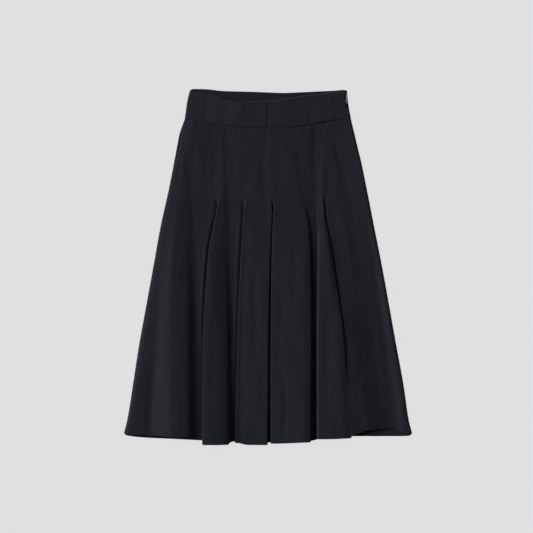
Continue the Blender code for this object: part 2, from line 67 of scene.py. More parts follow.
# Edges as (x, down): the front's seam, the band's two top edges, the back's seam and its hem.
FRONT_SEAM = (
    (-172.0, 57.4), (-155.0, 59.4), (-122.0, 66.4), (-89.0, 71.3), (-56.0, 73.8), (-21.0, 75.2),
    (9.0, 75.8), (42.0, 74.4), (81.0, 70.1), (106.0, 65.4), (136.0, 60.3), (172.0, 56.6),
)
FRONT_TOP = (
    (-158.6, 1.6), (-150.0, 4.6), (-128.0, 8.0), (-106.0, 12.3), (-81.0, 20.8), (-56.0, 24.6),
    (-26.0, 23.8), (7.0, 22.0), (34.0, 18.5), (56.0, 14.8), (77.0, 12.0), (104.0, 8.4),
    (136.0, 6.0), (158.0, 4.4),
)
BACK_TOP = (
    (-159.0, 0.0), (-154.0, -2.6), (-134.0, -2.4), (-112.0, -0.8), (-101.0, 0.9), (-77.0, 2.1),
    (-36.0, 3.1), (-3.0, 4.3), (30.0, 5.5), (71.0, 4.0), (104.0, 2.4), (136.0, 0.9),
    (156.0, -0.6), (161.4, 1.0),
)
BACK_SEAM = ((-172.0, 57.4), (-90.0, 61.5), (0.0, 64.0), (90.0, 61.5), (172.0, 56.8))
BACK_HEM = (
    (-295.4, 702.5), (-291.0, 706.2), (-272.0, 709.6), (-241.0, 712.0), (-198.0, 713.8),
    (-142.0, 716.6), (-75.0, 719.2), (0.0, 720.2), (60.0, 716.4), (92.0, 713.4), (147.0, 709.4),
    (183.0, 708.4), (263.0, 708.4), (290.0, 707.6), (295.4, 702.5),
)

# Rows of the front that the next tables give values for, before its seam and hem shift them.
STATIONS = (70.0, 230.0, 330.0, 500.0, 720.0)
SEAM_SHIFT_OVER = 140.0  # the seam's curve fades out over this length
HEM_SHIFT_FROM = 380.0  # the hem's curve grows from here on
# The lines that shape the cloth between the pleats.
# name: (x at each station, z at each station, hem)
LINES = {
    "side_dip": ((-161, -198, -214, -233, -238), (4.4, 5.0, 6.0, 6.3, 6.2), 706),
    "side_ridge": ((-158, -184, -192, -198, -194), (5.2, 6.0, 8.9, 12.2, 15.2), 708.5),
    "side_slope": ((-154, -166, -167, -166, -164), (5.6, 5.3, 6.9, 10.2, 12.8), 709.5),
    "left_valley": ((-149, -153, -149, -148, -148), (5.6, 4.1, 3.4, 3.5, 4.4), 710),
    "left_floor": ((-106, -114, -132, -140, -141), (5.9, 4.3, 4.4, 3.1, 3.0), 711),
    "second_shoulder": ((-91.2, -95, -115, -123, -122), (6.0, 5.7, 9.7, 14.2, 17.3), 724.7),
    "second_middle": ((-88, -90, -101, -105, -104), (5.9, 5.5, 8.8, 12.8, 16.6), 724.7),
    "second_edge": ((-80, -85, -87, -84, -82), (5.7, 4.9, 6.4, 9.2, 13.4), 724.4),
    "second_valley": ((-70, -77.5, -78, -77, -77.5), (5.7, 4.2, 4.2, 4.8, 6.0), 721),
    "second_floor": ((-50, -57, -64.5, -70, -73), (5.8, 4.7, 4.2, 3.2, 3.2), 719.5),
    "third_rise": ((-34, -41, -47.5, -53, -58), (6.0, 5.8, 8.0, 8.0, 7.0), 722.3),
    "third_top": ((-25, -26, -34, -43, -43), (6.2, 6.0, 8.8, 8.7, 8.0), 725.5),
    "third_end": ((-15, -4, -9, -13, -14), (6.1, 5.9, 9.3, 10.0, 9.8), 725.6),
    "fourth_start": ((11, 24, 20, 17.5, 17), (6.1, 5.9, 9.5, 11.3, 12.0), 722.4),
    "fourth_top": ((25, 42, 45, 44, 44), (6.2, 6.1, 9.9, 12.1, 13.2), 721.5),
    "fourth_end": ((36, 65, 74, 74, 73), (6.1, 6.3, 10.0, 12.8, 14.4), 720),
    "deep_left": ((86, 88.5, 91.8, 92.8, 92), (5.6, 4.1, 3.3, 3.5, 3.7), 717),
    "deep_right": ((97, 98.5, 101.5, 99.6, 99.9), (4.8, 3.4, 2.8, 2.9, 2.9), 715),
    "fifth_shoulder": ((107, 106.3, 105.0, 100.9, 101.2), (5.0, 4.5, 8.2, 12.5, 14.6), 713),
    "fifth_middle": ((110, 109, 113, 118, 118), (5.1, 4.9, 9.1, 12.9, 15.0), 713),
    "fifth_end": ((112, 111, 122, 141, 149), (5.2, 5.4, 9.5, 12.9, 15.0), 712),
    "slope_start": ((125, 124, 140, 165, 188), (5.5, 4.6, 4.9, 10.0, 11.9), 700),
    "slope_middle": ((132, 142, 162, 190, 209), (5.8, 5.0, 5.5, 7.4, 9.2), 695),
    "slope_crease": ((141, 166, 182, 213, 232), (5.4, 4.2, 4.4, 4.8, 5.9), 693),
    "edge_valley": ((152, 184, 212, 236, 258), (5.7, 4.6, 4.2, 2.8, 2.7), 693),
}
# The pleats. The side is 1 where a fold opens to the left and -1 where it opens to the right.
# name: (side, release, x, low, mid, top, hem to the left, hem to the right)
PLEATS = {
    "first": (
        1, 230.0, (-97, -103, -121, -131.6, -134),
        (2.75, 2.75, 2.8, 3.0, 3.0), (4.65, 4.85, 7.7, 12.3, 15.3), (6.6, 6.6, 9.4, 14.0, 17.0),
        711, 724.7,
    ),
    "second": (
        1, 236.0, (-42, -48, -54.6, -61.6, -67),
        (2.75, 2.75, 2.8, 2.9, 2.8), (4.65, 4.85, 6.4, 6.7, 6.2), (6.6, 6.6, 8.1, 8.4, 7.9),
        719.5, 721.5,
    ),
    "middle_left": (
        -1, 240.0, (-4.4, 8.9, 4.6, 0.6, -1.2),
        (2.75, 2.75, 3.0, 3.2, 3.2), (4.65, 4.9, 7.5, 8.3, 8.3), (6.7, 6.7, 9.2, 10.0, 10.0),
        725.4, 721.2,
    ),
    "middle_right": (
        1, 240.0, (-1.6, 11.5, 8.2, 6.3, 5.8),
        (2.75, 2.75, 3.0, 3.2, 3.2), (4.65, 4.9, 7.5, 9.3, 9.9), (6.7, 6.7, 9.2, 11.0, 11.6),
        721.2, 722.4,
    ),
    "fourth": (
        -1, 254.0, (48, 77, 86, 88, 86.8),
        (4.2, 4.2, 3.0, 2.8, 2.8), (5.4, 5.4, 7.2, 9.8, 10.8), (6.6, 6.6, 9.0, 11.6, 12.6),
        719.5, 718.0,
    ),
    "fifth": (
        -1, 225.5, (118, 113.8, 129.5, 153.5, 172),
        (2.8, 3.0, 3.4, 9.0, 12.0), (4.6, 4.6, 5.5, 10.75, 12.7), (6.4, 6.1, 8.0, 12.4, 13.4),
        711.0, 704.0,
    ),
}
LAYOUT = (
    "side_dip", "side_ridge", "side_slope", "left_valley", "left_floor", "first",
    "second_shoulder", "second_middle", "second_edge", "second_valley", "second_floor", "second",
    "third_rise", "third_top", "third_end", "middle_left", "middle_right",
    "fourth_start", "fourth_top", "fourth_end", "fourth",
    "deep_left", "deep_right", "fifth_shoulder", "fifth_middle", "fifth_end", "fifth",
    "slope_start", "slope_middle", "slope_crease", "edge_valley",
)
# The lines on both sides of each pleat, which its stitched stretch lies level with.
PLEAT_SIDES = {
    "first": ("left_floor", "second_shoulder"), "second": ("second_floor", "third_rise"),
    "middle_left": ("third_end", "fourth_start"), "middle_right": ("third_end", "fourth_start"),
    "fourth": ("fourth_end", "deep_left"), "fifth": ("fifth_end", "slope_start"),
}
# How far the hidden cloth reaches under a fold: (below its release, depth).
PLEAT_DEPTH = ((10.0, 8.0), (24.0, 16.0), (70.0, 21.0), (250.0, 24.0), (500.0, 24.0))
LAST_PLEAT_DEPTH = (
    (10.0, 8.0), (24.0, 14.0), (70.0, 17.0), (200.0, 17.0), (310.0, 9.0), (340.0, 8.0),
)
LAST_PLEAT_ENDS = 560.0
OPENS_OVER = 10.0  # a pleat opens over this length below its release
CLOSES_OVER = 30.0  # the last pleat closes over this length above its end
FADES_OVER = 60.0  # and its step fades over this length below it
LOW_REACH = 1.0  # how far a pleat's path goes on past its edge, over the lower cloth
TOP_REACH = 2.6  # and over the upper cloth
TURN_POINTS = 8  # points round each turn of a fold
LAYER_POINTS = 3  # points along each hidden layer of a fold
PATH_STEPS = 2 * (TURN_POINTS + LAYER_POINTS)
# The length above its release over which each pleat's step grows.
FADE_IN = {
    "first": 14.0, "second": 14.0, "middle_left": 12.0, "middle_right": 12.0, "fourth": 20.0,
    "fifth": 10.0,
}
# Heights of the front's edges and of the lip beside them: (down, at the left, at the right).
SIDE_HEIGHTS = (
    (57.0, 2.75, 5.0), (75.0, 2.75, 4.6), (100.0, 2.75, 3.9), (200.0, 2.75, 3.9),
    (260.0, 2.75, 3.0), (330.0, 2.75, 2.75), (720.0, 2.75, 2.75),
)
LIP_HEIGHTS = (
    (57.0, 4.2, 5.8), (230.0, 4.8, 5.7), (330.0, 5.0, 5.9), (500.0, 5.2, 6.2), (720.0, 5.8, 6.8),
)
LIP_IN = (7.0, 3.2)  # how far in the lip lies, at the left and at the right
SIDE_HEM = 703.0
LIP_HEM = 704.5
# The lower cloth swells beside these pleats: distance from the edge, half width, (down, height).
SWELLS = {
    "first": (-6.2, 3.4, ((215, 0.0), (256, 0.9), (320, 1.5), (460, 1.6), (510, 0.9), (560, 0.0))),
    "second": (-6.0, 3.4, ((236, 0.0), (262, 0.8), (320, 1.5), (540, 1.6), (610, 0.8), (680, 0.0))),
    "fifth": (6.0, 3.4, ((216, 0.0), (256, 0.4), (320, 0.7), (480, 0.6), (530, 0.0))),
}
# The zip's tape: (down, height of its underside), and the band's right edge: (down, x).
TAPE = (
    (13.2, 2.75), (35.0, 2.75), (58.6, 2.75), (66.5, 1.86), (90.0, 1.86), (130.0, 1.86),
    (165.0, 1.86), (198.0, 1.86),
)
TAPE_EDGE = ((0.0, 160.8), (20.0, 162.6), (42.0, 165.6), (57.0, 169.3))
TAPE_WIDTH = 9.0
TAPE_IN = 2.2  # how far in from the right edge it lies
TAPE_CLOTH = 0.45
TAPE_STRIPS = 18
COIL_PITCH = 1.5
COIL_HALF = 1.5  # half of the coil's width
COIL_HEIGHT = 0.36
COIL_EDGE = 1.375  # where its slope ends and how wide that is, in half widths
COIL_SLOPE = 0.625
ROWS_PER_TOOTH = 4
TOOTH_DIP = 0.25
TOOTH_SHIFT = 0.25  # the teeth of the two sides lie between each other
# How far the left seam is rolled to the front: (down, distance).
ROLLED_SEAM = ((72.0, 0.0), (95.0, 4.4), (118.0, 5.0), (138.0, 3.4), (158.0, 0.0))
# Heights along the front half of the band: (x, height).
BAND_TOP_HEIGHTS = (
    (-160.0, 4.1), (-140.0, 5.0), (-95.0, 6.6), (-50.0, 8.6), (0.0, 8.2), (50.0, 8.0),
    (110.0, 6.8), (145.0, 5.8), (160.0, 5.4),
)
BAND_SEAM_HEIGHTS = (
    (-172.0, 4.1), (-150.0, 5.4), (-110.0, 6.2), (0.0, 6.4), (110.0, 6.2), (150.0, 5.8),
    (172.0, 5.4),
)
LONGEST_STRIP = 3.3  # widest strip of the front
RIGHT_EDGE_STRIPS = 5  # the edge at the right turns down within a short way
# Rows of the front: their usual step, the close ones at the seam and at the hem, and how far
# in from both the even ones start.
ROW_STEP = 5.3
SEAM_ROWS = (0.0, 0.4, 1.6, 3.6)
HEM_ROWS = (2.4, 0.5, 0.0)
EVEN_ROWS_IN = (7.0, 5.0)
FREE_FROM = 3.1  # cloth higher than this has room under it for waves and creases
FREE_OVER = 2.6  # they reach their full height over this further height
SEAM_PULL = 0.4  # how deep the waist seam pulls the front in
SEAM_PULL_REACH = 2.6
PUCKER_DOWN = 5.0  # how far below the seam the puckers are strongest
PUCKER_REACH = 6.0
# Puckers along a seam: (size, start, height) of each wave.
FRONT_PUCKERS = ((1.9, 0.0, 0.10), (3.3, 1.0, 0.12))
BAND_PUCKERS = ((1.7, 0.0, 0.10), (2.9, 0.0, 0.10))
# The natural waves of the cloth: (width, length, place in the noise, height), and their strength.
WAVES = ((42.0, 130.0, 3.1, 0.75), (17.0, 60.0, 8.7, 0.34), (7.5, 22.0, 1.3, 0.10))
UNEVEN = 0.85
BAND_UNEVEN = 0.35

CREASE_PAST = 0.2  # share of its length that a crease runs on past each end
CREASE_REACH = 2.6  # and how far it reaches sideways, in half widths
CREASE_TAPER = 0.3  # share of its length over which it tapers
CREASE_LEFT = 0.5  # share of its depth that is left at each end
# Creases pressed or worn into the front: points (x, down), half width, depth (minus is a trough).
CREASES = (
    (((-86, 82), (-86, 150), (-82, 205), (-78, 260)), 9.0, -0.9),
    (((0, 80), (-6, 120), (-8.5, 165), (-7, 225)), 6.0, -0.7),
    (((97, 84), (94.5, 130), (94, 180), (95, 225)), 5.0, -0.5),
    (((-146, 490), (-145.5, 533), (-143, 580)), 3.4, -1.0),
    (((-51, 500), (-58, 580), (-60, 640), (-61, 705)), 7.0, -0.6),
    (((131, 82), (143, 130), (154, 170), (166, 215), (178, 290), (183, 330)), 7.0, -1.0),
    (((-163, 125), (-164, 160), (-158, 190), (-154, 225)), 9.0, -0.8),
    (((-150, 110), (-140, 150), (-138, 190)), 9.0, 0.5),
    (((-58, 90), (-60, 140), (-66, 200)), 10.0, 0.35),
    (((30, 95), (34, 150), (38, 215)), 8.0, 0.3),
    (((58, 92), (62, 140), (66, 190)), 7.0, -0.3),
    (((-27, 380), (-25, 450), (-26, 530), (-29, 560)), 8.0, -0.8),
    (((-44, 560), (-40, 620), (-42, 700)), 6.0, 0.4),
    (((27, 420), (29, 450), (28, 480)), 5.0, -0.6),
    (((30, 575), (34, 620), (35, 665), (32, 700)), 5.0, -0.9),
    (((52, 330), (54, 400), (50, 470)), 7.0, -0.4),
    (((120, 420), (122, 500), (119, 600)), 8.0, -0.4),
    (((130, 590), (128, 650), (131, 705)), 6.0, 0.4),
    (((-236, 560), (-240, 630), (-244, 700)), 9.0, -1.4),
    (((-222, 440), (-226, 520), (-231, 600)), 8.0, -0.7),
    (((-196, 330), (-201, 420), (-204, 500)), 7.0, 0.5),
    (((214, 440), (218, 480), (223, 530)), 7.0, -1.0),
    (((190, 590), (196, 640), (205, 690)), 8.0, 0.8),
    (((262, 600), (270, 650), (276, 695)), 7.0, 0.9),
    (((150, 250), (160, 300), (170, 345)), 8.0, 0.5),
    (((-112, 480), (-114, 560), (-116, 640)), 6.0, -0.5),
    (((142, 470), (144, 540), (147, 610), (154, 690)), 16.0, 1.3),
    (((208, 470), (222, 540), (236, 610), (248, 690)), 18.0, -1.3),
)
# Creases in the waistband: points (x, share of its height), half width, depth.
BAND_CREASES = (
    (((1, 0.0), (1, 0.5), (0, 1.0)), 2.2, -0.75),
    (((-124, 0.0), (-126, 0.6), (-128, 1.0)), 7.0, -0.8),
    (((-84, 0.0), (-88, 0.6), (-90, 1.0)), 9.0, -0.5),
    (((-58, 0.1), (-60, 0.7)), 10.0, 0.4),
    (((-30, 0.1), (-26, 0.8)), 8.0, -0.3),
    (((30, 0.0), (32, 0.8)), 10.0, 0.35),
    (((88, 0.1), (92, 1.0)), 9.0, -0.4),
    (((128, 0.1), (130, 0.9)), 9.0, 0.35),
)

# The back: first and last row, and its rows and columns as shares of its length and half width.
BACK_ENDS = (57.5, 701.5)
BACK_ROWS = (0.0, 0.004, *np.linspace(0.015, 0.985, 90), 0.996, 1.0)
BACK_EDGE = (0.952, 0.964, 0.976, 0.988, 0.995, 1.0)
BACK_COLUMNS = (*[-u for u in reversed(BACK_EDGE)], *np.linspace(-0.94, 0.94, 80), *BACK_EDGE)
BACK_SEAM_FADE = 9.0  # the seam's curve fades out over a ninth of the length
BACK_HEM_FROM = 0.8  # the hem's curve grows from here on
BACK_HEM_OVER = 0.2
BACK_HEIGHT = 0.62  # middle of the back's cloth above the surface
SIDE_LIFT = 0.58  # how far the back's sides lift
MORE_SIDE_LIFT = 0.36  # and how much further where no zip lies on them
SIDE_LIFT_FROM = 18.0  # distance from the side at which the lift starts
SIDE_LIFT_OVER = 9.0
ZIP_ENDS = 205.0  # below this the right side lifts further too, over the next length
ZIP_ENDS_OVER = 25.0

# The band: its left and right side as (share of its height from the top, x), its rows and columns.
BAND_FRONT_SIDES = (
    ((0.0, -158.6), (0.3, -163.2), (1.0, -169.6)),
    ((0.0, 158.0), (0.5, 158.4), (0.66, 164.4), (1.0, 168.8)),
)
BAND_BACK_SIDES = (
    ((0.0, -159.6), (0.3, -164.0), (1.0, -169.8)),
    ((0.0, 161.4), (0.3, 162.6), (0.7, 165.8), (1.0, 169.2)),
)
BAND_FRONT_ROWS = (0.0, 0.008, 0.03, 0.07, *np.linspace(0.13, 0.90, 12), 0.95, 0.98, 0.993, 1.0)
BAND_BACK_ROWS = (0.0, 0.03, 0.07, *np.linspace(0.14, 0.92, 10), 0.97, 1.0)
BAND_FRONT_COLUMNS = 116
BAND_BACK_COLUMNS = 104
FRONT_TOP_HALF = 158.6  # half widths of the top edges and of the seams in the tables
BACK_TOP_HALF = 161.0
BAND_SEAM_HALF = 170.0
BAND_BACK_HEIGHT = 1.15  # middle of the band's back half above the surface
BAND_FREE_FROM = 4.0
BAND_FREE_OVER = 1.6
BAND_LENGTH = 60.0  # length down the band, for its waves
BAND_WAVE_SIZE = 0.9  # the band's waves are a little wider than the front's
BAND_WAVE_START = 400.0
BAND_PUCKER_AT = 0.9  # share of the height at which the puckers are strongest
BAND_PUCKER_REACH = 0.12
BAND_SEAM_PULL = 0.4  # how deep the band dips to its seam, over the last share of its height
BAND_SEAM_SHARE = 0.05
BAND_TOP_PULL = 0.15  # and to its top edge, over the first share
BAND_TOP_SHARE = 0.06

# Linear colours.
LINEN = (0.0122, 0.0138, 0.0189)
TAPE_COLOUR = (0.0100, 0.0112, 0.0150)
SLIDER_COLOUR = (0.20, 0.21, 0.22)
TAB_COLOUR = (0.55, 0.57, 0.59)
# Sizes of the linen's details, per metre across the width and down the length.
WANDER_SIZE = (60.0, 60.0)
WARP_SLUB_SIZE = (1500.0, 22.0)
WEFT_SLUB_SIZE = (22.0, 1500.0)
STREAK_SIZE = (260.0, 14.0)
PATCH_SIZE = (9.0, 6.0)
CRUMPLE_SIZE = (95.0, 48.0)
WANDER = 0.0012  # how far threads wander off, in metres
CROSSING_HEIGHT = 0.6
THREAD_HEIGHT = 0.5
# Shares of the warp slubs, weft slubs, streaks, patches and weave in the cloth's tone.
TONE_SHARES = (0.55, 0.35, 0.30, 0.25, 0.10)
TONE_SCALE = 0.6
TONE_PLACES = (0.27, 0.68)
DARK_THREAD = 0.70
PALE_THREAD = 1.34
LINEN_ROUGHNESS = (0.80, 0.95)
BRUSHING_SIZE = (9000.0, 700.0)
METAL_PLACES = (0.3, 0.75)
DARK_METAL = 0.82
PALE_METAL = 1.14
LESS_ROUGH = 0.08
MORE_ROUGH = 0.12

FLOOR_SIZE = 30.0  # in metres, as the values after it
FLOOR_LEVEL = -0.0004
VIEW_WIDTH = 1.09265  # what the picture shows across, at the level of the cloth
CLOTH_LEVEL = 0.004
CAMERA_OVER = (-0.0031, 0.0010)
LENS = 85.0  # in millimetres
SENSOR_WIDTH = 36.0
# Each light: the side it comes from in degrees (0 right, 90 top, 180 left), its height above the
# surface in degrees, its width in degrees for soft shadows, and its strength.
KEY = (165.0, 20.0, 40.0, 5.25)
FILL = (80.0, 34.0, 60.0, 0.44)
FLOOR_KEY = (167.0, 21.0, 45.0, 7.5)
AMBIENT = 0.08  # brightness of the surroundings


def curve(points, at):
    """Smooth value at a place on the line through the points; it never swings past them."""
    xs = [p[0] for p in points]
    ys = [p[1] for p in points]
    if at <= xs[0]:
        return ys[0]
    if at >= xs[-1]:
        return ys[-1]
    rises = [(ys[k + 1] - ys[k]) / (xs[k + 1] - xs[k]) for k in range(len(xs) - 1)]
    slopes = [rises[0]]
    for before, after in zip(rises, rises[1:]):
        same_way = before * after > 0
        slopes.append(2 * before * after / (before + after) if same_way else 0.0)
    slopes.append(rises[-1])
    k = max(i for i in range(len(xs) - 1) if xs[i] <= at)
    width = xs[k + 1] - xs[k]
    t = (at - xs[k]) / width
    start = (1 + 2 * t) * (1 - t) ** 2 * ys[k] + t * (1 - t) ** 2 * width * slopes[k]
    end = t * t * (3 - 2 * t) * ys[k + 1] + t * t * (t - 1) * width * slopes[k + 1]
    return start + end


def column(table, index):
    return [(row[0], row[index]) for row in table]


def at_station(values, down):
    return curve(list(zip(STATIONS, values)), down)


def blend(first, second, share):
    pairs = zip(first, second)
    return [(a[0] + (b[0] - a[0]) * share, a[1] + (b[1] - a[1]) * share) for a, b in pairs]


def ease(t):
    t = min(max(t, 0.0), 1.0)
    return t * t * (3 - 2 * t)


def hump(off):
    """A bell shape, 1 in its middle and near 0 at twice its half width."""
    return math.exp(-off * off)


def turn(x, z, radius, start, end):
    """Points on an arc round a centre, between two angles in degrees."""
    last = TURN_POINTS - 1
    angles = [math.radians(start + (end - start) * k / last) for k in range(TURN_POINTS)]
    return [(x + radius * math.cos(a), z + radius * math.sin(a)) for a in angles]


def layer(first, second):
    """Points spaced evenly between the two ends of a hidden layer."""
    gaps = LAYER_POINTS + 1
    xs = [first[0] + (second[0] - first[0]) * k / gaps for k in range(1, gaps)]
    zs = [first[1] + (second[1] - first[1]) * k / gaps for k in range(1, gaps)]
    return list(zip(xs, zs))


def open_fold(x, low, mid, top, depth):
    """A fold's path from its lower cloth, under its edge and back, up to its upper cloth."""
    under = (mid - low) / 2
    over = (top - mid) / 2
    start = (x - LOW_REACH, low)
    lower = turn(x + depth - under, low + under, under, -90, 90)
    upper = turn(x + over, mid + over, over, -90, -270)
    return [start] + layer(start, lower[0]) + lower + layer(lower[-1], upper[0]) + upper


def step_fold(x, low, top):
    """The path of a fold that is stitched down: a soft step with as many points as an open one."""
    reach = LOW_REACH + TOP_REACH
    shares = [k / PATH_STEPS for k in range(PATH_STEPS + 1)]
    return [(x - LOW_REACH + reach * s, low + (top - low) * ease(s)) for s in shares]


def pleat_path(name, down):
    """Middle of the cloth through one pleat at a place down the skirt, from left to right."""
    side, release, xs, lows, mids, tops = PLEATS[name][:6]
    x = side * at_station(xs, down)
    low = at_station(lows, down)
    mid = at_station(mids, down)
    top = at_station(tops, down)
    below = down - release
    runs_out = name == "fifth"
    depth = curve(LAST_PLEAT_DEPTH if runs_out else PLEAT_DEPTH, below)
    stepped = step_fold(x, low, top)
    opened = open_fold(x, low, mid, top, depth)
    beside = [LINES[line][0:2] for line in PLEAT_SIDES[name]]
    ends = [(at_station(line_xs, down), at_station(line_zs, down)) for line_xs, line_zs in beside]
    flat = [(point[0], curve(ends, side * point[0])) for point in stepped]
    if below <= 0:
        path = blend(flat, stepped, ease(1 + below / FADE_IN[name]))
    else:
        path = blend(stepped, opened, min(below / OPENS_OVER, 1.0))
    to_end = LAST_PLEAT_ENDS - down
    if runs_out and to_end < CLOSES_OVER:
        if to_end > 0:
            path = blend(stepped, opened, to_end / CLOSES_OVER)
        else:
            path = blend(flat, stepped, ease(1 + to_end / FADES_OVER))
    if side < 0:
        path = [(-point[0], point[1]) for point in reversed(path)]
    return path


def seam_shift(down, x):
    """How far the seam's curve moves a place of the front down the skirt."""
    share = 1 - ease((down - STATIONS[0]) / SEAM_SHIFT_OVER)
    return share * (curve(FRONT_SEAM, x) + SEAM_GAP / 2 - STATIONS[0])


def hem_shift(down, hem):
    """How far the uneven hem moves a place of the front down the skirt."""
    share = ease((down - HEM_SHIFT_FROM) / (STATIONS[-1] - HEM_SHIFT_FROM))
    return share * (hem - STATIONS[-1])


def front_sides(down):
    """The x of the front's left and right edge in the middle of its cloth."""
    place_down = down + seam_shift(down, FRONT_SEAM[0][0]) + hem_shift(down, SIDE_HEM)
    left = curve(column(SIDES, 1), place_down) + CLOTH / 2 + curve(ROLLED_SEAM, place_down)
    right = curve(column(SIDES, 2), place_down) - CLOTH / 2
    return left, right


def control_points(down):
    """Lists of (x, z, hem) for each run between pleats, with the pleats' paths between them."""
    left, right = front_sides(down)
    run = [
        (left, curve(column(SIDE_HEIGHTS, 1), down), SIDE_HEM),
        (left + LIP_IN[0], curve(column(LIP_HEIGHTS, 1), down), LIP_HEM),
    ]
    made = []
    for name in LAYOUT:
        if name in PLEATS:
            path = pleat_path(name, down)
            first_hem, last_hem = PLEATS[name][6:8]
            last = len(path) - 1
            hems = [first_hem + (last_hem - first_hem) * k / last for k in range(last + 1)]
            run.append((*path[0], first_hem))
            made.append(("run", run))
            made.append(("pleat", [(*point, hem) for point, hem in zip(path, hems)]))
            run = [(*path[last], last_hem)]
        else:
            xs, zs, hem = LINES[name]
            run.append((at_station(xs, down), at_station(zs, down), hem))
    run.append((right - LIP_IN[1], curve(column(LIP_HEIGHTS, 2), down), SIDE_HEM))
    run.append((right, curve(column(SIDE_HEIGHTS, 2), down), SIDE_HEM))
    made.append(("run", run))
    return made


def strip_counts():
    """How many fine strips each stretch between two lines takes, from its widest place."""
    widest = {}
    for down in STATIONS:
        for r, (kind, points) in enumerate(control_points(down)):
            if kind == "run":
                for k, (a, b) in enumerate(zip(points, points[1:])):
                    size = math.hypot(b[0] - a[0], b[1] - a[1])
                    widest[(r, k)] = max(widest.get((r, k), 0.0), size)
    counts = {key: max(1, math.ceil(size / LONGEST_STRIP)) for key, size in widest.items()}
    counts[max(counts)] = RIGHT_EDGE_STRIPS
    return counts


def fine_section(down, counts):
    """The front's cross section at a place down the skirt, as (x, z, hem) from left to right."""
    section = []
    for r, (kind, points) in enumerate(control_points(down)):
        if kind == "pleat":
            section += points[1:-1]
            continue
        heights = [(p[0], p[1]) for p in points]
        hems = [(p[0], p[2]) for p in points]
        section.append(points[0])
        for k, (a, b) in enumerate(zip(points, points[1:])):
            count = counts[(r, k)]
            for j in range(1, count + 1):
                x = a[0] + (b[0] - a[0]) * j / count
                section.append((x, curve(heights, x), curve(hems, x)))
    return section


def crease_depth(table, x, down):
    """Height that the creases add at a place."""
    total = 0.0
    for points, half, depth in table:
        first, last = points[0][1], points[-1][1]
        length = last - first
        if not first - CREASE_PAST * length <= down <= last + CREASE_PAST * length:
            continue
        middle = curve([(p[1], p[0]) for p in points], down)
        off = abs(x - middle) / half
        if off > CREASE_REACH:
            continue
        taper = CREASE_TAPER * length
        to_end = min((down - first) / taper, (last - down) / taper)
        total += depth * ease(to_end + CREASE_LEFT) * hump(off)
    return total


def swell(x, down):
    """Height that the swells beside the pleats add to the lowest cloth at a place."""
    total = 0.0
    for name, (away, half, heights) in SWELLS.items():
        edge = at_station(PLEATS[name][2], down)
        if (x - edge) * away > 0:
            total += curve(heights, down) * hump((x - edge - away) / half)
    return total


def unevenness(x, down):
    """The slight natural waves of laid linen."""
    total = 0.0
    for wide, long, start, height in WAVES:
        total += height * noise.noise(Vector((x / wide, down / long, start)))
    return total


def pucker(waves, x):
    """Height of the small puckers along a seam."""
    return sum(height * math.sin(x / size + start) for size, start, height in waves)


def place(x, down, z):
    return (x * MM, (WAIST_Y - down) * MM, z * MM)


def front_points():
    """Middle of the front's cloth, in rows from the waist seam to the hem."""
    counts = strip_counts()
    first, last = STATIONS[0], STATIONS[-1]
    even = round((last - first - sum(EVEN_ROWS_IN)) / ROW_STEP)
    downs = [first + step for step in SEAM_ROWS]
    downs += list(np.linspace(first + EVEN_ROWS_IN[0], last - EVEN_ROWS_IN[1], even))
    downs += [last - step for step in HEM_ROWS]
    rows = []
    for down in downs:
        at_seam = hump((down - first) / SEAM_PULL_REACH)
        near_seam = hump((down - first - PUCKER_DOWN) / PUCKER_REACH)
        row = []
        for x, z, hem in fine_section(down, counts):
            place_down = down + seam_shift(down, x) + hem_shift(down, hem)
            free = ease((z - FREE_FROM) / FREE_OVER)
            lift = free * (crease_depth(CREASES, x, place_down) + UNEVEN * unevenness(x, place_down))
            lift += swell(x, down)
            lift -= free * SEAM_PULL * at_seam
            lift += free * pucker(FRONT_PUCKERS, x) * near_seam
            row.append(place(x, place_down, z + lift))
        rows.append(row)
    return rows


def back_points():
    """Middle of the back's cloth, whose sides lift to the front's edges."""
    first, last = BACK_ENDS
    rows = []
    for share in BACK_ROWS:
        down = first + share * (last - first)
        at_seam = 1 - ease(share * BACK_SEAM_FADE)
        at_hem = ease((share - BACK_HEM_FROM) / BACK_HEM_OVER)
        past_zip = ease((down - ZIP_ENDS) / ZIP_ENDS_OVER)
        row = []
        for u in BACK_COLUMNS:
            side = curve(column(SIDES, 1 if u < 0 else 2), down)
            x = abs(u) * side
            top = curve(BACK_SEAM, x) + SEAM_GAP / 2
            hem = curve(BACK_HEM, x)
            moved = at_seam * (top - first) + at_hem * (hem - last)
            lift = SIDE_LIFT + MORE_SIDE_LIFT * (1.0 if u < 0 else past_zip)
            from_side = abs(side) - abs(x)
            z = BACK_HEIGHT + lift * ease((SIDE_LIFT_FROM - from_side) / SIDE_LIFT_OVER)
            row.append(place(x, down + moved, z))
        rows.append(row)
    return rows


def band_front_height(x, share):
    high = curve(BAND_TOP_HEIGHTS, x)
    low = curve(BAND_SEAM_HEIGHTS, x)
    z = high + (low - high) * share
    free = ease((z - BAND_FREE_FROM) / BAND_FREE_OVER)
    waves = unevenness(x * BAND_WAVE_SIZE + BAND_WAVE_START, BAND_LENGTH * share)
    z += free * (crease_depth(BAND_CREASES, x, share) + BAND_UNEVEN * waves)
    z += free * pucker(BAND_PUCKERS, x) * hump((share - BAND_PUCKER_AT) / BAND_PUCKER_REACH)
    z -= free * BAND_SEAM_PULL * ease((share - 1 + BAND_SEAM_SHARE) / BAND_SEAM_SHARE)
    z -= free * BAND_TOP_PULL * ease((BAND_TOP_SHARE - share) / BAND_TOP_SHARE)
    return z


def band_back_height(x, share):
    return BAND_BACK_HEIGHT


